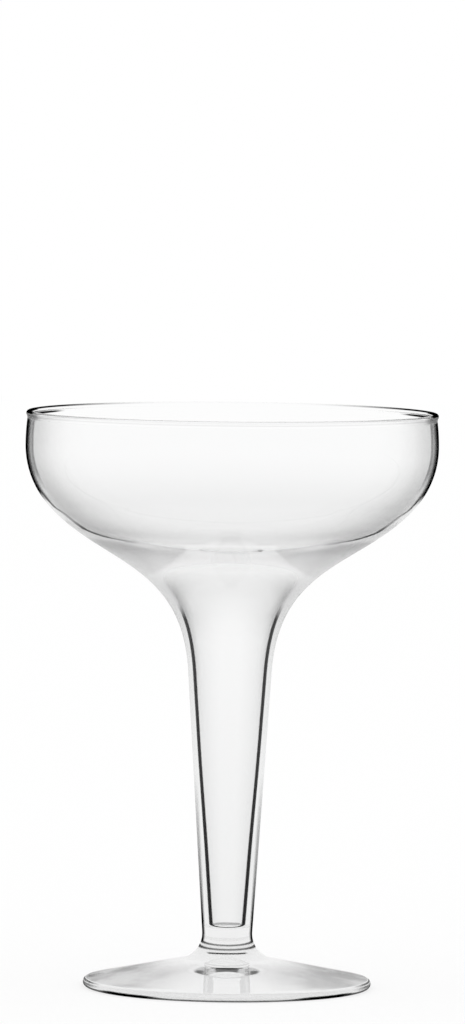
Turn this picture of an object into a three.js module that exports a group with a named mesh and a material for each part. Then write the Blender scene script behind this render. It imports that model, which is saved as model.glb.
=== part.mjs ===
// Hollow-stemmed coupe glass in three pieces of glass that are fused end to end:
// a spun foot, a drawn stem with a hollow down its middle, and a blown bowl that opens into that hollow.
// Millimetres, +Z up. The origin is the middle of the plane that the foot stands on.

import * as THREE from 'three';

// Whole glass
const GLASS_HEIGHT = 140;
const FOOT_WELD_HEIGHT = 10.5;
const BOWL_WELD_HEIGHT = 77;

// Bowl
const RIM_DIAMETER = 100;
const BELLY_DIAMETER = 100.2;
const BELLY_BELOW_RIM = 8.3;
const BELLY_RADIUS = 21.8;
const BELLY_SWEEP_DEG = 39;
const LIP_RADIUS = 0.7;
const LIP_PROUD = 0.42;
const NECK_HEIGHT = 0.45;
const RIM_WALL = 1.2;
const BELLY_WALL = 1.4;
const THROAT_WALL = 1.8;

// How far the throat's outer and inner curves are drawn along the stem and along the belly before they bend,
// as shares of the rise and of the width that they cross. The inner one is drawn further, so the glass
// thickens where the bowl narrows.
const THROAT_PULL_ALONG_STEM = 0.66;
const THROAT_PULL_ALONG_BELLY = 0.545;
const INNER_PULL_ALONG_STEM = 0.82;
const INNER_PULL_ALONG_BELLY = 0.61;

// Stem
const STEM_TOP_DIAMETER = 20.3;
const STEM_LOW_DIAMETER = 11.8;
const PLUG_LENGTH = 4;
const HOLLOW_FLOOR_DIAMETER = 7.9;
const HOLLOW_CORNER_RADIUS = 1.2;

// Foot
const FOOT_DIAMETER = 70;
const FOOT_EDGE_RADIUS = 1.1;
const CROWN_SLOPE_DEG = 11.5;
const CROWN_FILLET_RADIUS = 6.3;
const STANDING_RING_WIDTH = 4;
const DISH_DEPTH = 0.9;

// Facets: sides round the glass, and steps along each round stretch of an outline
const SIDES = 64;
const THROAT_STEPS = 12;
const BELLY_STEPS = 6;
const SHOULDER_STEPS = 2;
const LIP_STEPS = 5;
const FILLET_STEPS = 8;
const EDGE_STEPS = 6;
const DISH_STEPS = 5;
const CORNER_STEPS = 4;

const { degToRad } = THREE.MathUtils;
const at = (radius, height) => new THREE.Vector2(radius, height);

// Outlines hold the radius as x and the height as y, and are turned about the glass's own axis.

function arc(centre, radius, fromAngle, toAngle) {
  return new THREE.EllipseCurve(centre.x, centre.y, radius, radius, fromAngle, toAngle, toAngle < fromAngle);
}

// Points along curves that follow one another, each given with its number of steps
function along(...stretches) {
  return stretches.flatMap(([curve, steps], index) => curve.getPoints(steps).slice(index === 0 ? 0 : 1));
}

// A straight line of an outline as a point on it and the direction from it to its rounding's centre
function line(from, to, side) {
  const along = to.clone().sub(from).normalize();
  return { point: from, normal: at(-along.y, along.x).multiplyScalar(side) };
}

// The arc that rounds the corner between two lines, from the first line to the second
function rounding(first, second, radius) {
  const a = first.normal;
  const b = second.normal;
  const reachA = radius + first.point.dot(a);
  const reachB = radius + second.point.dot(b);
  const cross = a.x * b.y - a.y * b.x;
  const centre = at((reachA * b.y - reachB * a.y) / cross, (a.x * reachB - b.x * reachA) / cross);
  return arc(centre, radius, a.clone().negate().angle(), b.clone().negate().angle());
}

// A rising outline cut in two at a height, where both halves share the cut point
function cutAtHeight(points, height) {
  const next = points.findIndex((point) => point.y > height);
  const low = points[next - 1];
  const high = points[next];
  const cut = low.clone().lerp(high, (height - low.y) / (high.y - low.y));
  cut.y = height;
  return { below: [...points.slice(0, next), cut], above: [cut, ...points.slice(next)] };
}

function turned(name, outline, colour) {
  const geometry = new THREE.LatheGeometry(outline, SIDES);
  geometry.rotateX(Math.PI / 2);
  const glass = new THREE.MeshStandardMaterial({ color: colour, roughness: 0.03, metalness: 0 });
  const mesh = new THREE.Mesh(geometry, glass);
  mesh.name = name;
  return mesh;
}

// Lines that the pieces share: the stem's straight taper, the wall of its hollow and the foot's crown
const axisUp = at(0, 1);
const stemTop = at(STEM_TOP_DIAMETER / 2, BOWL_WELD_HEIGHT);
const stemLow = at(STEM_LOW_DIAMETER / 2, FOOT_WELD_HEIGHT);
const stemRun = stemTop.clone().sub(stemLow).normalize();
const hollowTop = at(stemTop.x - THROAT_WALL / stemRun.y, BOWL_WELD_HEIGHT);
const hollowFloor = at(HOLLOW_FLOOR_DIAMETER / 2, FOOT_WELD_HEIGHT + PLUG_LENGTH);
const hollowRun = hollowTop.clone().sub(hollowFloor).normalize();

const edgeCentre = at(FOOT_DIAMETER / 2 - FOOT_EDGE_RADIUS, FOOT_EDGE_RADIUS);
const crownAngle = Math.PI / 2 - degToRad(CROWN_SLOPE_DEG);
const edge = arc(edgeCentre, FOOT_EDGE_RADIUS, -Math.PI / 2, crownAngle);
const crownLow = edge.getPoint(1);
const crownUp = at(-Math.sin(crownAngle), Math.cos(crownAngle));
const crown = line(crownLow, crownLow.clone().add(crownUp), -1);
const crownFillet = rounding(crown, line(stemLow, stemTop, -1), CROWN_FILLET_RADIUS);

// From the foot's edge up its crown, round the fillet and up the stem, cut where foot and stem are fused
const rise = [crownLow, ...crownFillet.getPoints(FILLET_STEPS), stemTop];
const footAndStem = cutAtHeight(rise, FOOT_WELD_HEIGHT);

// Foot: a shallow dish below, inside a flat ring that the glass stands on
function makeFoot() {
  const ringInner = edgeCentre.x - STANDING_RING_WIDTH;
  const dishMiddle = at(0, DISH_DEPTH);
  const dish = new THREE.QuadraticBezierCurve(dishMiddle, at(ringInner / 2, DISH_DEPTH), at(ringInner, 0));
  const outline = [
    ...dish.getPoints(DISH_STEPS),
    ...edge.getPoints(EDGE_STEPS),
    ...footAndStem.below.slice(1),
    at(0, FOOT_WELD_HEIGHT),
  ];
  return turned('foot', outline, 0xeef2f1);
}

// Stem: a tapered tube, open at the top into the bowl and closed below by a solid plug
function makeHollowStem() {
  const floorLine = { point: hollowFloor, normal: axisUp };
  const corner = rounding(line(hollowTop, hollowFloor, -1), floorLine, HOLLOW_CORNER_RADIUS);
  const outline = [
    at(0, FOOT_WELD_HEIGHT),
    ...footAndStem.above,
    hollowTop,
    ...corner.getPoints(CORNER_STEPS),
    at(0, hollowFloor.y),
  ];
  return turned('hollow_stem', outline, 0xf1f5f4);
}

// One side of the throat's wall, drawn from the stem up into the belly
function throatCurve(low, lowRun, high, highRun, pullAlongStem, pullAlongBelly) {
  const rise = (high.y - low.y) * pullAlongStem;
  const reach = (high.x - low.x) * pullAlongBelly;
  return new THREE.CubicBezierCurve(
    low,
    low.clone().addScaledVector(lowRun, rise),
    high.clone().addScaledVector(highRun, -reach),
    high,
  );
}

// One side of the wall above the belly, upright at first and then drawn in to the neck
function shoulderCurve(widest, neck) {
  return new THREE.QuadraticBezierCurve(widest, at(widest.x, (widest.y + neck.y) / 2), neck);
}

// Bowl: the throat flares out of the stem's taper into a round belly, and the wall thins towards the lip
function makeBowl() {
  const widest = at(BELLY_DIAMETER / 2, GLASS_HEIGHT - BELLY_BELOW_RIM);
  const bellyCentre = at(widest.x - BELLY_RADIUS, widest.y);
  const bellyTurn = -degToRad(BELLY_SWEEP_DEG);
  const belly = arc(bellyCentre, BELLY_RADIUS, bellyTurn, 0);
  const innerBelly = arc(bellyCentre, BELLY_RADIUS - BELLY_WALL, bellyTurn, 0);

  const bellyRun = at(-Math.sin(bellyTurn), Math.cos(bellyTurn));
  const throat = throatCurve(
    stemTop, stemRun, belly.getPoint(0), bellyRun, THROAT_PULL_ALONG_STEM, THROAT_PULL_ALONG_BELLY,
  );
  const innerThroat = throatCurve(
    hollowTop, hollowRun, innerBelly.getPoint(0), bellyRun, INNER_PULL_ALONG_STEM, INNER_PULL_ALONG_BELLY,
  );

  const lipCentre = at(RIM_DIAMETER / 2 - LIP_RADIUS, GLASS_HEIGHT - LIP_RADIUS);
  const lip = arc(lipCentre, LIP_RADIUS, -Math.PI / 4, Math.PI);
  const neck = at(RIM_DIAMETER / 2 - LIP_PROUD, lipCentre.y - LIP_RADIUS - NECK_HEIGHT);
  const shoulder = shoulderCurve(widest, neck);
  const innerShoulder = shoulderCurve(innerBelly.getPoint(1), at(neck.x - RIM_WALL, neck.y));

  const outside = along([throat, THROAT_STEPS], [belly, BELLY_STEPS], [shoulder, SHOULDER_STEPS]);
  const inside = along(
    [innerThroat, THROAT_STEPS], [innerBelly, BELLY_STEPS], [innerShoulder, SHOULDER_STEPS],
  ).reverse();
  const outline = [...outside, ...lip.getPoints(LIP_STEPS), ...inside, stemTop];
  return turned('bowl', outline, 0xf5f8f7);
}

const coupe = new THREE.Group();
coupe.add(makeFoot(), makeHollowStem(), makeBowl());

export default coupe;
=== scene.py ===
"""Hollow-stemmed coupe glass: three pieces of clear glass, fused end to end, on a plain white stage.

The pieces are bodies of revolution about the Z axis. Each is spun from a half outline whose points hold
the radius as x and the height as y.
"""

import math
from functools import cached_property

import bmesh
import bpy
from bpy.props import FloatProperty, FloatVectorProperty, PointerProperty
from mathutils import Matrix, Vector
from mathutils.geometry import interpolate_bezier


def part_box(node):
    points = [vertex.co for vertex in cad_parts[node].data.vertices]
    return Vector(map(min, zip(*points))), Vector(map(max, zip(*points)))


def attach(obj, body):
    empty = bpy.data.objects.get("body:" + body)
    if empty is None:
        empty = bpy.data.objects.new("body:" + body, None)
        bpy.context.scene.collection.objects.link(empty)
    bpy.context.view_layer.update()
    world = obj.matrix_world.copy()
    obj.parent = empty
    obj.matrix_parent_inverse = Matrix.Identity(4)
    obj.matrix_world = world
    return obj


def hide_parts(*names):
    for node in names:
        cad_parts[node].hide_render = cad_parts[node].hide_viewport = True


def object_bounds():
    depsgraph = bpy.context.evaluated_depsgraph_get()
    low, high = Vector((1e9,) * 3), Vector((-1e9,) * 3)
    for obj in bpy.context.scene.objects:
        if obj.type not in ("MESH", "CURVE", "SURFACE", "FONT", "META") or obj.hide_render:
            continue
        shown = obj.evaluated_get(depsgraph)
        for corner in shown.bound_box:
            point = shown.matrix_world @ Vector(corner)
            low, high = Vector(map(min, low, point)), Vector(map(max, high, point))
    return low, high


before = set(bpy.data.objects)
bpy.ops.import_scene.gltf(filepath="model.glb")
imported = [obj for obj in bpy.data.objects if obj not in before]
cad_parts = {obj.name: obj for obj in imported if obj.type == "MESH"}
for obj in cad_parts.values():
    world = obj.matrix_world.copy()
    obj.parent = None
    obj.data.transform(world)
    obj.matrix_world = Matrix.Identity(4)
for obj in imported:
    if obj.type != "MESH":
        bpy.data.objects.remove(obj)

bl_info = {
    "name": "Coupe Glass",
    "version": (1, 0, 0),
    "blender": (4, 5, 0),
    "location": "View3D > Sidebar > Coupe",
    "description": "Models a hollow-stemmed coupe glass and its white stage",
    "category": "Object",
}

MM = 0.001
BODY = "root"
CAD_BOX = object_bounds()
BOWL_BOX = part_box("bowl")
STEM_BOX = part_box("hollow_stem")
FOOT_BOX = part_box("foot")

# Materials of a piece, in the order of its slots
OUTSIDE, WELD, HOLLOW = range(3)

SPIN_STEPS = 192
MERGE_DISTANCE = 1e-7
THROAT_POINTS = 56
BELLY_POINTS = 24
SHOULDER_POINTS = 12
LIP_POINTS = 24
FILLET_POINTS = 24
EDGE_POINTS = 20
DISH_POINTS = 20
CORNER_POINTS = 16
TAPER_POINTS = 12

# Stage
IMAGE_HEIGHT = 1024
SENSOR_WIDTH = 36.0
CLIP_END = 50.0
LIGHT_BOUNCES = 96
FLOOR_SIDES = 96
FLOOR_GREY = 0.9
FLOOR_GLOW = 0.75

# How dark the glass is painted as shade, from 0 to 1, as its surface is seen square on (0) to edge on (1)
BELLY_BAND = ((0.716, 0), (0.738, 0.6), (0.755, 0.6), (0.775, 0.5), (0.8, 0.55))
BELLY_EDGE = ((0.78, 0), (0.815, 0.5), (0.845, 0.9), (0.885, 1))
STEM_EDGE = ((0.5, 0), (0.66, 1))
WALL_SHADE = ((0.42, 0), (0.56, 0.8), (0.7, 1))
FLARE_SHADE = ((0.62, 0), (0.7, 0.8), (0.78, 1))
HOLLOW_SKIRT = ((0.12, 0), (0.16, 0.03), (0.18, 0.1), (0.2, 0.2), (0.22, 0.37), (0.24, 0.52),
                (0.26, 0.12), (0.27, 0))
WIDE_SKIRT = ((0.02, 0), (0.22, 0.3), (0.26, 0.25), (0.32, 0.1))
WEDGE = ((0.256, 0), (0.264, 0.25), (0.275, 0.3), (0.29, 0.2), (0.34, 0.04), (0.4, 0))
STEM_BARS = ((0.2, 0), (0.24, 1), (0.36, 1), (0.44, 0))
CROWN_SIDE = ((0.7, 0), (0.752, 0.28), (0.851, 0.38), (0.94, 0.4), (0.98, 0))

# How strong a mark of painted shade is at heights in millimetres
BELLY_BAND_HEIGHTS = ((121, 0), (126, 1), (138, 1), (138.5, 0))
BELLY_EDGE_HEIGHTS = ((118, 0), (120.5, 1), (138, 1), (138.5, 0))
STEM_EDGE_HEIGHTS = ((10.9, 0), (11.2, 1), (17, 1), (27, 0.7), (41, 0.4), (52, 0))
WALL_SHADE_HEIGHTS = ((35, 0), (60, 0.06), (77, 0.11), (90, 0.17), (98, 0.18), (102, 0))
FLARE_SHADE_HEIGHTS = ((98, 0), (102, 0.15), (105, 0.18), (108, 0.24), (109.2, 0.24), (109.8, 0))
HOLLOW_LINE_HEIGHTS = ((91, 1), (95, 0))
SKIRT_HEIGHTS = ((60, 0), (92, 0.6), (97, 0.6), (102, 0.2), (106, 0), (110.6, 0), (112, 0.7), (113, 1),
                 (122, 0.9), (130, 0.72))
WIDE_SKIRT_HEIGHTS = ((60, 0.45), (85, 0.55), (92, 1), (98, 0.8), (104, 0))
WEDGE_HEIGHTS = ((103, 0), (107, 0.3), (109, 1), (116, 1), (120, 0))
LIP_HEIGHTS = ((138, 0), (138.6, 1))
LOW_LINE_HEIGHTS = ((109.4, 0), (109.9, 0.5), (110.4, 0.9), (112.5, 0.9), (114, 0.5), (115.5, 0.45),
                    (117, 0.75), (119.5, 0.9), (121, 0))

# How far edge on the outside is seen where the painted dark line under the bowl runs, at heights in
# millimetres
LOW_LINE = ((109.8, 0.635), (110.4, 0.705), (111.1, 0.75), (112, 0.79), (115.8, 0.79), (117.2, 0.84))

# Depth of the grey painted into the glass as shade, at heights in millimetres: most near the foot and low in
# the bowl, none near the rim
SHADE_TINT_HEIGHTS = ((8, 0.3), (10.5, 0.6), (14, 0.6), (16, 0.35), (20, 0.35), (85, 0.1), (104, 0.2),
                (111, 0.3), (115, 0.5), (120, 0.35), (127, 0))

# In the groups below, a pair is the start and the end of a soft step. Facing and side run from 0, square on,
# to 1, edge on. Tilt runs from -1, looking down, to 1, looking up. Heights, radii and the fades of lines that
# run at a height are in millimetres. Dark is the strength of a mark of painted shade, from 0 to 1.

# Glass
LIGHT_LEFT = 0.1
WAVE_SCALE = 60.0
WAVE_DETAIL = 1.0
STREAK_SCALE = 110.0
STREAK_DETAIL = 3.0
STREAK_STEP = (0.35, 0.65)

# Lip
LIP_RUN_START = 0.4
LIP_END_FACING = (0.4, 0.6)
FAR_LIP_HEIGHT = (139.56, 139.7)
FAR_LIP_INWARD = (0.0, 0.1)
FAR_LIP_SIDE = (0.02, 0.5)
FAR_LIP_FACING = (0.1, 0.3)
TIP_HEIGHT = (139.38, 139.55)
TIP_SIDE = (0.73, 0.79)
BEAD_HEIGHT = 139.0
BEAD_FADE = (0.08, 0.22)
BEAD_SIDE = (0.3, 0.7)
BEAD_DARK = 0.1
BEAD_SIDE_DARK = 0.1
BEAD_END_SIDE = (0.62, 0.74)
BEAD_END_DARK = 0.6
UNDER_LIP_HEIGHT = 138.6
UNDER_LIP_FADE = (0.1, 0.3)
UNDER_LIP_SIDE = (0.44, 0.54)
UNDER_LIP_WIDTH = 0.8
UNDER_LIP_WIDENING = 0.6
UNDER_LIP_WIDE_SIDE = (0.45, 0.65)

# Bowl
UPRIGHT_TILT = (-0.72, -0.6)
LOW_LINE_FADE = (0.01, 0.03)
LOW_SHADE_RISE = (-0.15, 0.0)
LOW_SHADE_FALL = (0.0, 0.02)
LOW_SHADE_DARK = 0.2

# Hollow
LINE_CORE = 0.38
LINE_REACH = 0.68
LINE_SHIFT = 0.25
LINE_SHIFT_HEIGHT = (30, 60)
LEAST_LEVEL = 0.02
LOW_STEM_HEIGHT = (30, 40)
STEEP_WALL = (0.75, 0.9)
CORNER_RISE = (0.25, 0.5)
CORNER_FALL = (0.75, 0.95)
CORNER_DARK = 0.5

# Stem and its joint with the foot
ALONG_STEM_FACING = (0.55, 0.75)
ALONG_STEM_DARK = 0.9
STEM_JOINT_HEIGHT = 10.7
STEM_JOINT_RISE = 0.8
FOOT_JOINT_HEIGHT = 9.68
FOOT_JOINT_RISE = 0.6
JOINT_FADE = (0.3, 0.9)
JOINT_WIDENING = 1.2
JOINT_FRONT_DARK = 0.7

# Foot
CROWN_TILT = (0.93, 0.97)
CROWN_RADIUS = (11, 25)
PATCH_LEAST = 0.7
PATCH_STREAKS = 0.6
UNDER_TILT = (0.42, 0.7)
UNDER_RADIUS = (33.4, 34)
UNDER_FACING = (0.6, 0.95)
UNDER_FACING_GAIN = 0.5
UNDER_SIDE = (0.2, 0.6)
UNDER_SIDE_GAIN = 0.12
UNDER_THICK_RISE = (0.08, 0.2)
UNDER_THICK_FALL = (0.4, 0.6)
UNDER_THICK_GAIN = 0.35
UNDER_DARK = 0.85
FOOT_END_SIDE = (0.5, 0.75)
FOOT_END_HEIGHT = (2.5, 3.5)
HIGH_STREAK_TILT = 0.72
HIGH_STREAK_FADE = (0.08, 0.22)
HIGH_STREAK_DARK = 0.8
LOW_STREAK_TILT = 0.15
LOW_STREAK_FADE = (0.15, 0.35)
LOW_STREAK_DARK = 0.7
FRONT_HEIGHT = 8.85
FRONT_FADE = (0.1, 0.24)
FRONT_FACING = (0.3, 0.38)
FRONT_DARK = 0.9


def length(label, text, default):
    """A size of the glass or its stage, in metres."""
    return FloatProperty(name=label, description=text, default=default, unit="LENGTH", precision=5)


def share(label, text, default):
    """A plain number that scales something else."""
    return FloatProperty(name=label, description=text, default=default, precision=3)


def angle(label, text, degrees):
    """An angle, given in degrees and kept in radians."""
    return FloatProperty(name=label, description=text, default=math.radians(degrees), subtype="ANGLE")


def colour(label, text, default):
    """A colour of the glass."""
    return FloatVectorProperty(name=label, description=text, default=default, subtype="COLOR", min=0, max=1)


class CoupeShape(bpy.types.PropertyGroup):
    """Sizes of the three pieces of glass."""

    rim_radius: length("Rim radius", "Outside of the lip", 50 * MM)
    belly_below_rim: length("Belly below rim", "Drop from the rim to the widest place", 8.3 * MM)
    belly_radius: length("Belly radius", "Roundness of the belly seen from the side", 21.8 * MM)
    belly_sweep: angle("Belly sweep", "Arc of the belly below its widest place", 39)
    lip_radius: length("Lip radius", "Half the thickness of the fire-polished lip", 0.7 * MM)
    lip_undercut: angle("Lip undercut", "How far the lip's round goes on below its widest place", 45)
    lip_proud: length("Lip proud", "How far the lip stands out from the neck below it", 0.3 * MM)
    neck_height: length("Neck height", "Drop from the lip to the neck", 0.45 * MM)
    rim_wall: length("Rim wall", "Wall just below the lip", 1.2 * MM)
    belly_wall: length("Belly wall", "Wall of the belly", 1.4 * MM)
    throat_wall: length("Throat wall", "Wall where the bowl meets the stem", 1.8 * MM)
    pull_along_stem: share("Pull along stem", "Share of its rise that the throat follows the stem", 0.66)
    pull_along_belly: share("Pull along belly", "Share of its width that the throat follows the belly", 0.545)
    inner_along_stem: share("Inner pull along stem", "The same for the throat's inner side", 0.82)
    inner_along_belly: share("Inner pull along belly", "The same for the throat's inner side", 0.61)
    stem_low_radius: length("Stem low radius", "Radius of the taper at the foot, fillet apart", 5.9 * MM)
    plug_length: length("Plug length", "Solid glass between the foot and the hollow", 4 * MM)
    hollow_floor_radius: length("Hollow floor radius", "Radius of the hollow at its floor", 3.95 * MM)
    hollow_corner: length("Hollow corner", "Rounding where the hollow's wall meets its floor", 1.2 * MM)
    edge_radius: length("Foot edge radius", "Half the thickness of the foot's round edge", 1.1 * MM)
    crown_slope: angle("Crown slope", "Slope of the foot's upper face", 11.5)
    crown_fillet: length("Crown fillet", "Rounding between the foot's crown and the stem", 6.3 * MM)
    ring_width: length("Standing ring width", "Width of the flat ring that the glass stands on", 4 * MM)
    dish_depth: length("Dish depth", "Hollow under the middle of the foot", 0.9 * MM)


class CoupeGlass(bpy.types.PropertyGroup):
    """Finish of the glass."""
    # Look of the glass: its surface, and the grey and sizes of its painted shade.

    clear: colour("Clear", "Colour of the thin glass near the rim", (0.988, 0.989, 0.989))
    # The glass's base colour turns by height from clear towards this grey, which is painted shade
    shade_grey: colour("Deep", "Colour of the thick glass", (0.854, 0.856, 0.855))
    gleam: colour("Gleam", "Share of the room that the glass mirrors square on", (0.5, 0.5, 0.5))
    ior: share("Refractive index", "Bending of light in the glass", 1.52)
    # line_width, joint_width and lip_run size marks of painted shade
    line_width: length("Line width", "Width of the dark line along the hollow's edge", 0.78 * MM)
    joint_width: length("Joint line width", "Width of the dark rings at the foot of the stem", 0.35 * MM)
    reach: length("Reach", "Length of glass that takes away most of the light that runs along it", 600 * MM)
    lip_run: length("Lip run", "Length of lip that turns light along it black", 9 * MM)
    roughness: share("Roughness", "Roughness of the fire-polished surface", 0.004)
    ripple: length("Ripple", "Height of the faint waves of hand-worked glass", 0.002 * MM)


class CoupeStage(bpy.types.PropertyGroup):
    """Camera, floor and light."""

    camera_distance: length("Camera distance", "From the axis of the glass", 2.2)
    camera_height: length("Camera height", "Above the floor", 0.247)
    camera_aside: length("Camera aside", "To the right of the axis", 0.00022)
    camera_pitch: angle("Camera pitch", "Downwards from the horizon", 3.417)
    camera_roll: angle("Camera roll", "Lean of the glass in the picture", 0.6)
    focal_pixels: share("Focal pixels", "Focal length in pixels of the picture", 9090)
    floor_radius: length("Floor radius", "Radius of the white floor", 3.0)
    floor_drop: length("Floor drop", "Gap under the standing ring", 0.05 * MM)
    mirrored: share("Mirrored", "Brightness of the room that the glass mirrors", 0.86)
    ambient: share("Ambient", "Light of the room on the floor", 1.1)


class Wire:
    """An output socket that takes part in Python expressions."""

    def __init__(self, nodes, socket):
        self.nodes = nodes
        self.socket = socket

    def _math(self, operation, first, second):
        return self.nodes.add("ShaderNodeMath", {"operation": operation}, {0: first, 1: second})

    def __add__(self, other):
        return self._math("ADD", self, other)

    __radd__ = __add__

    def __sub__(self, other):
        return self._math("SUBTRACT", self, other)

    def __rsub__(self, other):
        return self._math("SUBTRACT", other, self)

    def __mul__(self, other):
        return self._math("MULTIPLY", self, other)

    __rmul__ = __mul__

    def __truediv__(self, other):
        return self._math("DIVIDE", self, other)

    def __rpow__(self, other):
        return self._math("POWER", other, self)

    def __abs__(self):
        return self._math("ABSOLUTE", self, 0.0)


class Nodes:
    """The node tree of one material or of the world."""

    def __init__(self, owner):
        owner.use_nodes = True
        self.tree = owner.node_tree
        self.tree.nodes.clear()

    def add(self, kind, settings=None, inputs=None, output=0):
        """Adds a node, sets it up, fills its sockets and returns one of its outputs."""
        node = self.tree.nodes.new(kind)
        for name, value in (settings or {}).items():
            if name == "stops":
                self.set_stops(node.color_ramp, value)
            else:
                setattr(node, name, value)
        for name, value in (inputs or {}).items():
            if isinstance(value, Wire):
                self.tree.links.new(value.socket, node.inputs[name])
            else:
                node.inputs[name].default_value = value
        return Wire(self, node.outputs[output]) if node.outputs else None

    @staticmethod
    def set_stops(ramp, stops):
        """Gives a ramp its stops, each a place from 0 to 1 and a grey level."""
        ramp.interpolation = "LINEAR"
        while len(ramp.elements) < len(stops):
            ramp.elements.new(1.0)
        for element, (position, level) in zip(ramp.elements, stops):
            element.position = position
            element.color = (level, level, level, 1.0)

    def ramp(self, value, stops):
        return self.add("ShaderNodeValToRGB", {"stops": stops}, {"Fac": value})

    def ease(self, value, step):
        """0 before a step's start and 1 after its end, smooth between them."""
        start, end = step
        return self.add("ShaderNodeMapRange", {"interpolation_type": "SMOOTHSTEP"},
                        {"Value": value, "From Min": start, "From Max": end})

    def fade(self, value, step):
        """1 before a step's start and 0 after its end, smooth between them."""
        return 1 - self.ease(value, step)

    def line_at(self, value, place, step):
        """1 where a value is at its place, fading away on both sides of it."""
        return self.fade(abs(value - place), step)

    def ray(self, kind):
        """What the light's path so far says, such as Is Camera Ray or Ray Depth."""
        return self.add("ShaderNodeLightPath", output=kind)


def rgba(rgb):
    return (*rgb, 1.0)


class GlassNodes(Nodes):
    """Nodes of a glass, with the readings, in millimetres, that its marks of painted shade are worked out
    from.
    """

    def __init__(self, name):
        self.material = bpy.data.materials.new(name)
        self.look = bpy.context.scene.coupe_glass
        super().__init__(self.material)

    @cached_property
    def place(self):
        return self.add("ShaderNodeTexCoord", output="Object")

    @cached_property
    def height(self):
        return self.add("ShaderNodeSeparateXYZ", inputs={"Vector": self.place}, output="Z") / MM

    @cached_property
    def radius(self):
        return self.level(self.place) / MM

    @cached_property
    def normal(self):
        return self.add("ShaderNodeNewGeometry", output="Normal")

    @cached_property
    def tilt(self):
        """-1 where the surface looks down, 1 where it looks up."""
        return self.add("ShaderNodeSeparateXYZ", inputs={"Vector": self.normal}, output="Z")

    @cached_property
    def outward(self):
        """Level direction away from the axis of the glass."""
        return self.add("ShaderNodeVectorMath", {"operation": "NORMALIZE"}, {0: self.flat(self.place)})

    @cached_property
    def inward(self):
        """1 where the surface looks at the axis of the glass, -1 where it looks away from it."""
        return -1 * self.add("ShaderNodeVectorMath", {"operation": "DOT_PRODUCT"},
                             {0: self.normal, 1: self.outward}, output="Value")

    @cached_property
    def facing(self):
        """0 where the surface is seen square on, 1 where it is seen edge on."""
        return self.add("ShaderNodeLayerWeight", inputs={"Blend": 0.5}, output="Facing")

    @cached_property
    def sideways(self):
        """0 at the front and back of the glass, 1 at its two sides."""
        return self.add("ShaderNodeLayerWeight", inputs={"Blend": 0.5, "Normal": self.outward},
                        output="Facing")

    @cached_property
    def from_glass(self):
        """1 for light that meets the surface from within the glass."""
        return self.add("ShaderNodeNewGeometry", output="Backfacing")

    @cached_property
    def from_air(self):
        """1 for light that meets the surface from the air."""
        return 1 - self.from_glass

    @cached_property
    def direct(self):
        """1 for light that comes straight to the eye."""
        return self.met_at_most(0)

    @cached_property
    def first(self):
        """1 for light that has met no more than one other surface since the eye."""
        return self.met_at_most(1)

    @cached_property
    def near(self):
        """1 for light that has met only a few surfaces since the eye."""
        return self.met_at_most(3)

    @cached_property
    def path(self):
        """Length of glass or air that light has crossed to the surface."""
        return self.ray("Ray Length") / MM

    @cached_property
    def streaks(self):
        """Soft noise patches from 0 to 1 that break up the painted shade on the foot's crown."""
        return self.ease(self.noise(STREAK_SCALE, STREAK_DETAIL), STREAK_STEP)

    def noise(self, scale, detail):
        return self.add("ShaderNodeTexNoise", inputs={"Vector": self.place, "Scale": scale, "Detail": detail})

    def met_at_most(self, count):
        """1 for light that has met no more than this number of other surfaces since the eye."""
        return self.fade(self.ray("Ray Depth"), (count + 0.1, count + 0.9))

    def flat(self, vector):
        """A vector without its upright part."""
        return self.add("ShaderNodeVectorMath", {"operation": "MULTIPLY"}, {0: vector, 1: (1, 1, 0)})

    def level(self, vector):
        """Length of a vector without its upright part."""
        return self.add("ShaderNodeVectorMath", {"operation": "LENGTH"}, {0: self.flat(vector)},
                        output="Value")

    def by_height(self, stops):
        """Grey level at heights in millimetres."""
        top = CAD_BOX[1][2] / MM
        return self.ramp(self.height / top, [(height / top, level) for height, level in stops])

    def edge_line(self, stops):
        """Painted dark outline, as shade, where the outside is seen edge on."""
        return self.ramp(self.facing, stops) * self.from_air

    def wall_shade(self):
        """Soft shade of the wall between its outline and the hollow."""
        wall = self.edge_line(WALL_SHADE) * self.by_height(WALL_SHADE_HEIGHTS)
        return wall + self.edge_line(FLARE_SHADE) * self.by_height(FLARE_SHADE_HEIGHTS)

    def hollow_line(self):
        """Painted dark line, as shade, where light within the glass only just fails to pass into the hollow.
        """
        critical = math.asin(1 / self.look.ior)
        spread = math.tan(critical) / self.look.ior
        past = (self.facing - (1 - math.cos(critical))) / spread
        off = past * self.radius / (self.level(self.normal) + LEAST_LEVEL)
        shift = LINE_SHIFT * self.ease(self.height, LINE_SHIFT_HEIGHT)
        width = self.look.line_width / MM
        return self.line_at(off, shift, (LINE_CORE * width, LINE_REACH * width)) * self.from_glass

    def skirt(self, stops, heights):
        """Soft painted shade along that line."""
        return self.ramp(self.facing, stops) * self.by_height(heights) * self.from_glass * self.first

    def joint_line(self, height, rise):
        """Dark ring of the weld round the stem, with painted shade that darkens it, bends it up to its sides
        and widens it there.
        """
        width = self.look.joint_width / MM * (1 + JOINT_WIDENING * self.facing * self.facing)
        off = abs(self.height - height - self.facing * rise) / width
        dark = JOINT_FRONT_DARK + (1 - JOINT_FRONT_DARK) * self.facing
        return self.fade(off, JOINT_FADE) * dark * self.from_air

    def low_line(self):
        """Painted dark line under the bowl, as shade that its outside shows."""
        off = self.facing - self.by_height(LOW_LINE)
        line = self.fade(abs(off), LOW_LINE_FADE)
        shade = self.ease(off, LOW_SHADE_RISE) * self.fade(off, LOW_SHADE_FALL) * LOW_SHADE_DARK
        return (line + (1 - line) * shade) * self.by_height(LOW_LINE_HEIGHTS) * self.direct

    def thick_glass(self):
        """Loss of light that runs far through the glass."""
        return (1 - LIGHT_LEFT ** (self.path * MM / self.look.reach)) * self.from_glass

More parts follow.
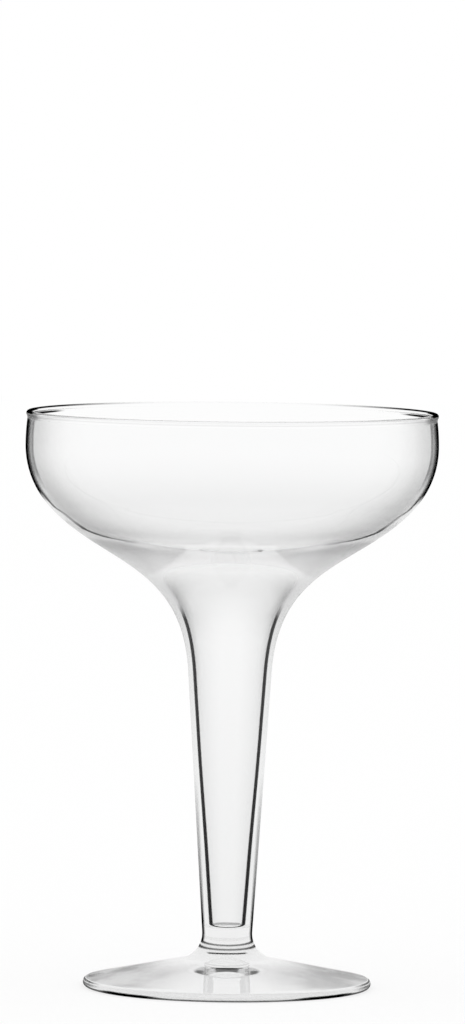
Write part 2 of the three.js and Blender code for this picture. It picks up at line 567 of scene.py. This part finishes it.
    def lip_run_shade(self):
        """Light that runs along the lip to its ends is painted dark, as shade."""
        run = self.look.lip_run / MM
        far = self.ease(self.path, (LIP_RUN_START * run, run))
        return far * self.by_height(LIP_HEIGHTS) * self.from_glass * self.near

    def far_lip(self):
        """Painted dark outline, as shade, of the lip's far side that fades from its two ends to its middle.
        """
        top = self.ease(self.height, FAR_LIP_HEIGHT) * self.ease(self.inward, FAR_LIP_INWARD)
        side = self.ease(self.sideways, FAR_LIP_SIDE) * self.ease(self.facing, FAR_LIP_FACING)
        return top * side * self.from_air * self.first

    def lip_tip(self):
        """Black painted as shade on the top of the lip's two ends."""
        end = self.ease(self.sideways, TIP_SIDE) * self.ease(self.facing, LIP_END_FACING)
        return end * self.ease(self.height, TIP_HEIGHT) * self.from_air * self.first

    def lip_bead(self):
        """Faint painted line under the lip's bead, and painted dark at its two ends, as shade."""
        dark = BEAD_DARK + BEAD_SIDE_DARK * self.ease(self.sideways, BEAD_SIDE)
        line = self.line_at(self.height, BEAD_HEIGHT, BEAD_FADE) * dark
        end = self.ease(self.sideways, BEAD_END_SIDE) * self.ease(self.facing, LIP_END_FACING)
        return (line + end * self.by_height(LIP_HEIGHTS) * BEAD_END_DARK) * self.from_air * self.first

    def under_lip(self):
        """Painted dark line, as shade, on the inside below the lip, towards its two ends."""
        width = UNDER_LIP_WIDTH + UNDER_LIP_WIDENING * self.ease(self.sideways, UNDER_LIP_WIDE_SIDE)
        line = self.fade(abs(self.height - UNDER_LIP_HEIGHT) / width, UNDER_LIP_FADE)
        return line * self.ease(self.sideways, UNDER_LIP_SIDE) * self.from_air * self.first

    def finish_and_shade(self, marks):
        """Clear glass with faint ripples, which the marks of painted shade turn dark."""
        waves = self.noise(WAVE_SCALE, WAVE_DETAIL)
        ripple = self.add("ShaderNodeBump", inputs={
            "Strength": 1.0, "Distance": self.look.ripple, "Height": waves})
        # The base colour runs by height from the clear glass to a grey painted in as shade
        depth = self.by_height(SHADE_TINT_HEIGHTS)
        tint = self.add("ShaderNodeMix", {"data_type": "RGBA"}, {
            "Factor": depth, 6: rgba(self.look.clear), 7: rgba(self.look.shade_grey)}, output=2)
        glass = self.add("ShaderNodeBsdfPrincipled", inputs={
            "Base Color": tint,
            "Roughness": waves * self.look.roughness,
            "IOR": self.look.ior,
            "Transmission Weight": 1.0,
            "Specular Tint": rgba(self.look.gleam),
            "Normal": ripple,
        })
        # Each mark mixes in black as painted shade, standing in for the dark that bent and mirrored light
        # shows in glass
        clear = math.prod((1 - mark for mark in marks[1:]), start=1 - marks[0])
        black = self.add("ShaderNodeBsdfDiffuse", inputs={"Color": (0, 0, 0, 1)})
        mixed = self.add("ShaderNodeMixShader", inputs={"Fac": clear, 1: black, 2: glass})
        self.add("ShaderNodeOutputMaterial", inputs={"Surface": mixed})
        return self.material


def bowl_outside():
    nodes = GlassNodes("bowl_outside")
    upright = nodes.ease(nodes.tilt, UPRIGHT_TILT)
    # Painted shade: the belly's dark band and outline, the wall's shade, the line under the bowl and the
    # lip's dark marks, with the loss of light through thick glass
    return nodes.finish_and_shade([
        nodes.edge_line(BELLY_BAND) * upright * nodes.by_height(BELLY_BAND_HEIGHTS),
        nodes.edge_line(BELLY_EDGE) * upright * nodes.by_height(BELLY_EDGE_HEIGHTS),
        nodes.wall_shade(),
        nodes.low_line(),
        nodes.lip_bead(),
        nodes.lip_tip(),
        nodes.lip_run_shade(),
        nodes.thick_glass(),
    ])


def hollow_inside(name):
    nodes = GlassNodes(name)
    low = nodes.fade(nodes.height, LOW_STEM_HEIGHT)
    later = 1 - nodes.first
    line = nodes.hollow_line() * nodes.by_height(HOLLOW_LINE_HEIGHTS)
    steep = nodes.ease(nodes.level(nodes.normal), STEEP_WALL)
    # Painted dark bars on the hollow's steep low wall, and painted shade at its floor's corner, as shade that
    # the foot shows
    bars = nodes.ramp(nodes.facing, STEM_BARS) * steep * low
    corner = nodes.ease(nodes.tilt, CORNER_RISE) * nodes.fade(nodes.tilt, CORNER_FALL) * low
    # Painted shade: the hollow's line, skirts and wedge, its bars and corner, and the lip's dark marks, with
    # the loss of light through thick glass
    return nodes.finish_and_shade([
        line * (nodes.first + later * low * nodes.near),
        nodes.skirt(HOLLOW_SKIRT, SKIRT_HEIGHTS),
        nodes.skirt(WIDE_SKIRT, WIDE_SKIRT_HEIGHTS),
        nodes.skirt(WEDGE, WEDGE_HEIGHTS),
        bars * nodes.from_glass * later * nodes.met_at_most(5),
        corner * nodes.near * CORNER_DARK,
        nodes.far_lip(),
        nodes.lip_tip(),
        nodes.under_lip(),
        nodes.lip_run_shade(),
        nodes.thick_glass(),
    ])


def stem_outside():
    nodes = GlassNodes("stem_outside")
    low = nodes.fade(nodes.height, LOW_STEM_HEIGHT)
    # Painted shade: the stem's dark outline, dark where light runs along its low wall, the wall's shade and
    # the weld's ring
    marks = [
        nodes.edge_line(STEM_EDGE) * nodes.by_height(STEM_EDGE_HEIGHTS),
        nodes.ease(nodes.facing, ALONG_STEM_FACING) * nodes.from_glass * low * ALONG_STEM_DARK,
        nodes.wall_shade(),
        nodes.joint_line(STEM_JOINT_HEIGHT, STEM_JOINT_RISE),
        nodes.thick_glass(),
    ]
    return nodes.finish_and_shade([mark * nodes.near for mark in marks])


def foot_outside():
    nodes = GlassNodes("foot_outside")
    # Painted shade on the foot: grey patches on the crown's sides, broken up by noise
    crown = nodes.ease(nodes.tilt, CROWN_TILT) * nodes.ease(nodes.radius, CROWN_RADIUS) * nodes.direct
    crown_shade = nodes.ramp(nodes.facing, CROWN_SIDE) * crown * (PATCH_LEAST + PATCH_STREAKS * nodes.streaks)

    # Painted dark under the foot's round edge, as shade
    thick = nodes.ease(nodes.sideways, UNDER_THICK_RISE) * nodes.fade(nodes.sideways, UNDER_THICK_FALL)
    reach = UNDER_FACING_GAIN * nodes.ease(nodes.facing, UNDER_FACING) + UNDER_THICK_GAIN * thick
    reach = reach + UNDER_SIDE_GAIN * nodes.ease(nodes.sideways, UNDER_SIDE)
    under = nodes.ease(reach - nodes.tilt, UNDER_TILT) * nodes.ease(nodes.radius, UNDER_RADIUS)

    # Painted dark streaks at the foot's two ends, and a painted dark line across the fillet's front, as shade
    end = nodes.ease(nodes.sideways, FOOT_END_SIDE) * nodes.fade(nodes.height, FOOT_END_HEIGHT)
    high_streak = nodes.line_at(nodes.tilt, HIGH_STREAK_TILT, HIGH_STREAK_FADE) * end
    low_streak = nodes.line_at(nodes.tilt, LOW_STREAK_TILT, LOW_STREAK_FADE) * end
    front = nodes.line_at(nodes.height, FRONT_HEIGHT, FRONT_FADE) * nodes.fade(nodes.facing, FRONT_FACING)
    marks = [
        crown_shade,
        under * (UNDER_DARK + (1 - UNDER_DARK) * thick) * nodes.from_air,
        high_streak * HIGH_STREAK_DARK * nodes.from_air,
        low_streak * LOW_STREAK_DARK * nodes.from_air,
        front * FRONT_DARK * nodes.from_air,
        nodes.joint_line(FOOT_JOINT_HEIGHT, FOOT_JOINT_RISE),
        nodes.thick_glass(),
    ]
    return nodes.finish_and_shade([mark * nodes.near for mark in marks])


def weld_material():
    """The fused joint between two pieces, where light passes as if the glass were one."""
    material = bpy.data.materials.get("fused_joint")
    if material is None:
        material = bpy.data.materials.new("fused_joint")
        nodes = Nodes(material)
        clear = nodes.add("ShaderNodeBsdfTransparent")
        nodes.add("ShaderNodeOutputMaterial", inputs={"Surface": clear})
    return material


def at(radius, height):
    return Vector((radius, height))


def arc(centre, radius, start, end, count):
    """Points along an arc, angles in radians from the outward direction."""
    steps = [start + (end - start) * step / (count - 1) for step in range(count)]
    return [centre + radius * at(math.cos(turn), math.sin(turn)) for turn in steps]


def straight(start, end, count):
    """Points along a line, without its ends."""
    return [start.lerp(end, step / (count + 1)) for step in range(1, count + 1)]


def rounding_centre(first, second, radius):
    """Centre of the arc that rounds a corner of two lines, each a point and the direction to that centre."""
    directions = Matrix((first[1], second[1]))
    reach = at(radius + first[0].dot(first[1]), radius + second[0].dot(second[1]))
    return directions.inverted() @ reach


def side_of(start, end):
    """Direction square to a line, to its right as it runs from start to end."""
    along = (end - start).normalized()
    return at(along.y, -along.x)


def turn_of(direction):
    return math.atan2(direction.y, direction.x)


def throat_curve(low, low_run, high, high_run, pull_low, pull_high):
    """One side of the throat's wall, drawn from the stem up into the belly."""
    rise = (high.y - low.y) * pull_low
    reach = (high.x - low.x) * pull_high
    corners = (low, low + low_run * rise, high - high_run * reach, high)
    return [point.xy for point in interpolate_bezier(*(corner.to_3d() for corner in corners), THROAT_POINTS)]


def shoulder_curve(widest, neck):
    """One side of the wall above the belly, upright at first and then drawn in to the neck."""
    drop = neck - widest
    parts = [step / SHOULDER_POINTS for step in range(SHOULDER_POINTS + 1)]
    return [widest + at(drop.x * part * part, drop.y * part) for part in parts]


class Outline:
    """The lines that the three pieces share, worked out from the sizes and from the frame's boxes."""

    def __init__(self, shape):
        self.bowl_weld = BOWL_BOX[0][2]
        self.foot_weld = STEM_BOX[0][2]
        self.stem_top = at(STEM_BOX[1][0], self.bowl_weld)
        self.stem_low = at(shape.stem_low_radius, self.foot_weld)
        self.stem_run = (self.stem_top - self.stem_low).normalized()
        self.hollow_top = at(self.stem_top.x - shape.throat_wall / self.stem_run.y, self.bowl_weld)
        self.hollow_floor = at(shape.hollow_floor_radius, self.foot_weld + shape.plug_length)
        self.hollow_run = (self.hollow_top - self.hollow_floor).normalized()

        self.edge_centre = at(FOOT_BOX[1][0] - shape.edge_radius, shape.edge_radius)
        crown_turn = math.pi / 2 - shape.crown_slope
        self.edge = arc(self.edge_centre, shape.edge_radius, -math.pi / 2, crown_turn, EDGE_POINTS)
        crown_up = at(math.cos(crown_turn), math.sin(crown_turn))
        stem_out = side_of(self.stem_low, self.stem_top)
        centre = rounding_centre((self.edge[-1], crown_up), (self.stem_low, stem_out), shape.crown_fillet)
        fillet_start = turn_of(-crown_up) + 2 * math.pi
        fillet = arc(centre, shape.crown_fillet, fillet_start, turn_of(-stem_out), FILLET_POINTS)
        self.fillet_below = [point for point in fillet if point.y < self.foot_weld]
        self.fillet_above = [point for point in fillet if point.y > self.foot_weld]
        low = self.fillet_below[-1]
        high = self.fillet_above[0]
        self.weld_edge = low.lerp(high, (self.foot_weld - low.y) / (high.y - low.y))


def spin(name, outline, weld_heights, closed):
    """Turns a half outline about the Z axis into one smooth piece of glass."""
    build = bmesh.new()
    points = [build.verts.new((point.x, 0.0, point.y)) for point in outline]
    edges = [build.edges.new(pair) for pair in zip(points, points[1:])]
    if closed:
        edges.append(build.edges.new((points[-1], points[0])))
    bmesh.ops.spin(build, geom=points + edges, axis=(0, 0, 1), cent=(0, 0, 0), angle=2 * math.pi,
                   steps=SPIN_STEPS, use_merge=True)
    bmesh.ops.remove_doubles(build, verts=build.verts, dist=MERGE_DISTANCE)
    bmesh.ops.recalc_face_normals(build, faces=build.faces)

    # Faces between two pieces are the weld, and those that look up more than outwards are the hollow's
    for face in build.faces:
        face.smooth = True
        heights = [vertex.co.z for vertex in face.verts]
        if any(max(abs(height - weld) for height in heights) < MERGE_DISTANCE for weld in weld_heights):
            face.material_index = WELD
        elif face.normal.z > face.normal.xy.dot(face.calc_center_median().xy.normalized()):
            face.material_index = HOLLOW
    for edge in build.edges:
        edge.smooth = len({face.material_index == WELD for face in edge.link_faces}) == 1

    mesh = bpy.data.meshes.new(name)
    build.to_mesh(mesh)
    build.free()
    piece = bpy.data.objects.new(name, mesh)
    bpy.context.scene.collection.objects.link(piece)
    return piece


def finish_piece(piece, node, materials):
    """Gives a piece its glass and joins it to the frame."""
    for material in materials:
        piece.data.materials.append(material)
    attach(piece, BODY)
    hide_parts(node)


class COUPE_OT_bowl(bpy.types.Operator):
    """Model the blown bowl with its lip and the throat that opens into the stem"""

    bl_idname = "coupe.bowl"
    bl_label = "Bowl"

    def execute(self, context):
        shape = context.scene.coupe_shape
        lines = Outline(shape)
        rim_height = BOWL_BOX[1][2]
        widest = at(BOWL_BOX[1][0], rim_height - shape.belly_below_rim)
        belly_centre = widest - at(shape.belly_radius, 0)
        inner_radius = shape.belly_radius - shape.belly_wall
        belly = arc(belly_centre, shape.belly_radius, -shape.belly_sweep, 0, BELLY_POINTS)
        inner_belly = arc(belly_centre, inner_radius, -shape.belly_sweep, 0, BELLY_POINTS)

        belly_run = at(math.sin(shape.belly_sweep), math.cos(shape.belly_sweep))
        throat = throat_curve(lines.stem_top, lines.stem_run, belly[0], belly_run,
                              shape.pull_along_stem, shape.pull_along_belly)
        inner_throat = throat_curve(lines.hollow_top, lines.hollow_run, inner_belly[0], belly_run,
                                    shape.inner_along_stem, shape.inner_along_belly)

        lip_centre = at(shape.rim_radius - shape.lip_radius, rim_height - shape.lip_radius)
        lip = arc(lip_centre, shape.lip_radius, -shape.lip_undercut, math.pi, LIP_POINTS)
        neck = at(shape.rim_radius - shape.lip_proud, lip_centre.y - shape.lip_radius - shape.neck_height)
        shoulder = shoulder_curve(widest, neck)
        inner_shoulder = shoulder_curve(inner_belly[-1], neck - at(shape.rim_wall, 0))

        outside = throat + belly[1:] + shoulder[1:]
        inside = inner_throat + inner_belly[1:] + inner_shoulder[1:]
        piece = spin("bowl_glass", outside + lip + inside[::-1], [lines.bowl_weld], closed=True)
        finish_piece(piece, "bowl",
                     [bowl_outside(), weld_material(), hollow_inside("bowl_inside")])
        return {"FINISHED"}


class COUPE_OT_stem(bpy.types.Operator):
    """Model the drawn stem, hollow from the throat down to its solid plug"""

    bl_idname = "coupe.stem"
    bl_label = "Hollow stem"

    def execute(self, context):
        shape = context.scene.coupe_shape
        lines = Outline(shape)
        wall_in = side_of(lines.hollow_top, lines.hollow_floor)
        floor_up = at(0, 1)
        centre = rounding_centre((lines.hollow_floor, wall_in), (lines.hollow_floor, floor_up),
                                 shape.hollow_corner)
        corner = arc(centre, shape.hollow_corner, turn_of(-wall_in), turn_of(-floor_up), CORNER_POINTS)
        outline = [at(0, lines.foot_weld), lines.weld_edge, *lines.fillet_above]
        outline += straight(lines.fillet_above[-1], lines.stem_top, TAPER_POINTS)
        outline += [lines.stem_top, lines.hollow_top]
        outline += straight(lines.hollow_top, corner[0], TAPER_POINTS)
        outline += corner + [at(0, lines.hollow_floor.y)]
        piece = spin("stem_glass", outline, [lines.foot_weld, lines.bowl_weld], closed=False)
        finish_piece(piece, "hollow_stem",
                     [stem_outside(), weld_material(), hollow_inside("stem_hollow")])
        return {"FINISHED"}


class COUPE_OT_foot(bpy.types.Operator):
    """Model the spun foot with its low crown, round edge and dished underside"""

    bl_idname = "coupe.foot"
    bl_label = "Foot"

    def execute(self, context):
        shape = context.scene.coupe_shape
        lines = Outline(shape)
        ring_inner = lines.edge_centre.x - shape.ring_width
        dish = [at(ring_inner * part, shape.dish_depth * (1 - part * part))
                for part in (step / DISH_POINTS for step in range(DISH_POINTS + 1))]
        crown = straight(lines.edge[-1], lines.fillet_below[0], TAPER_POINTS)
        outline = dish + lines.edge + crown + lines.fillet_below + [lines.weld_edge, at(0, lines.foot_weld)]
        piece = spin("foot_glass", outline, [lines.foot_weld], closed=False)
        outside = foot_outside()
        finish_piece(piece, "foot", [outside, weld_material(), outside])
        return {"FINISHED"}


def floor_material(stage):
    """White floor that keeps the soft shadow of the glass."""
    material = bpy.data.materials.new("white_floor")
    nodes = Nodes(material)
    camera = nodes.ray("Is Camera Ray")
    through = nodes.ray("Is Transmission Ray")
    mirrored = nodes.ray("Is Glossy Ray") * (1 - through)
    white = nodes.add("ShaderNodeEmission", inputs={
        "Color": (1, 1, 1, 1), "Strength": camera + through + mirrored * stage.mirrored})
    matt = nodes.add("ShaderNodeBsdfDiffuse", inputs={"Color": (FLOOR_GREY, FLOOR_GREY, FLOOR_GREY, 1)})
    glow = camera * FLOOR_GLOW + through + mirrored
    mixed = nodes.add("ShaderNodeMixShader", inputs={"Fac": glow, 1: matt, 2: white})
    nodes.add("ShaderNodeOutputMaterial", inputs={"Surface": mixed})
    return material


def make_floor(stage):
    build = bmesh.new()
    bmesh.ops.create_circle(build, cap_ends=True, segments=FLOOR_SIDES, radius=stage.floor_radius,
                            matrix=Matrix.Translation((0, 0, -stage.floor_drop)))
    mesh = bpy.data.meshes.new("floor")
    build.to_mesh(mesh)
    build.free()
    mesh.materials.append(floor_material(stage))
    floor = bpy.data.objects.new("floor", mesh)
    bpy.context.scene.collection.objects.link(floor)


def make_world(stage):
    """White room, a little darker where the glass mirrors it."""
    world = bpy.data.worlds.new("studio")
    bpy.context.scene.world = world
    nodes = Nodes(world)
    camera = nodes.ray("Is Camera Ray")
    through = nodes.ray("Is Transmission Ray")
    glossy = nodes.ray("Is Glossy Ray")
    other = glossy * stage.mirrored + (1 - glossy) * stage.ambient
    bent = through + (1 - through) * other
    strength = camera + (1 - camera) * bent
    sky = nodes.add("ShaderNodeBackground", inputs={"Color": (1, 1, 1, 1), "Strength": strength})
    nodes.add("ShaderNodeOutputWorld", inputs={"Surface": sky})


def make_camera(stage):
    camera = bpy.data.cameras.new("camera")
    camera.sensor_width = SENSOR_WIDTH
    camera.lens = stage.focal_pixels * SENSOR_WIDTH / IMAGE_HEIGHT
    camera.clip_end = CLIP_END
    view = bpy.data.objects.new("camera", camera)
    place = Matrix.Translation((stage.camera_aside, -stage.camera_distance, stage.camera_height))
    tilt = Matrix.Rotation(math.pi / 2 - stage.camera_pitch, 4, "X")
    roll = Matrix.Rotation(stage.camera_roll, 4, "Z")
    view.matrix_world = place @ tilt @ roll
    bpy.context.scene.collection.objects.link(view)
    bpy.context.scene.camera = view


class COUPE_OT_stage(bpy.types.Operator):
    """Set up the white floor, the light and the camera"""

    bl_idname = "coupe.stage"
    bl_label = "Stage"

    def execute(self, context):
        stage = context.scene.coupe_stage
        make_floor(stage)
        make_world(stage)
        make_camera(stage)
        context.scene.view_settings.view_transform = "Standard"
        context.scene.cycles.max_bounces = LIGHT_BOUNCES
        context.scene.cycles.glossy_bounces = LIGHT_BOUNCES
        context.scene.cycles.transmission_bounces = LIGHT_BOUNCES
        context.scene.cycles.transparent_max_bounces = LIGHT_BOUNCES
        return {"FINISHED"}


class COUPE_PT_panel(bpy.types.Panel):
    """Sizes, finish and stage of the coupe glass"""

    bl_idname = "COUPE_PT_panel"
    bl_label = "Coupe Glass"
    bl_space_type = "VIEW_3D"
    bl_region_type = "UI"
    bl_category = "Coupe"

    def draw(self, context):
        for operator in OPERATORS:
            self.layout.operator(operator.bl_idname)
        for group in GROUPS:
            box = self.layout.box()
            for name in GROUPS[group].__annotations__:
                box.prop(getattr(context.scene, group), name)


OPERATORS = (COUPE_OT_bowl, COUPE_OT_stem, COUPE_OT_foot, COUPE_OT_stage)
GROUPS = {"coupe_shape": CoupeShape, "coupe_glass": CoupeGlass, "coupe_stage": CoupeStage}


def register():
    for group in GROUPS.values():
        bpy.utils.register_class(group)
    for name, group in GROUPS.items():
        setattr(bpy.types.Scene, name, PointerProperty(type=group))
    for operator in OPERATORS:
        bpy.utils.register_class(operator)
    bpy.utils.register_class(COUPE_PT_panel)


def unregister():
    bpy.utils.unregister_class(COUPE_PT_panel)
    for operator in reversed(OPERATORS):
        bpy.utils.unregister_class(operator)
    for name, group in GROUPS.items():
        delattr(bpy.types.Scene, name)
        bpy.utils.unregister_class(group)


def main():
    register()
    bpy.ops.coupe.bowl()
    bpy.ops.coupe.stem()
    bpy.ops.coupe.foot()
    bpy.ops.coupe.stage()


if __name__ == "__main__":
    main()
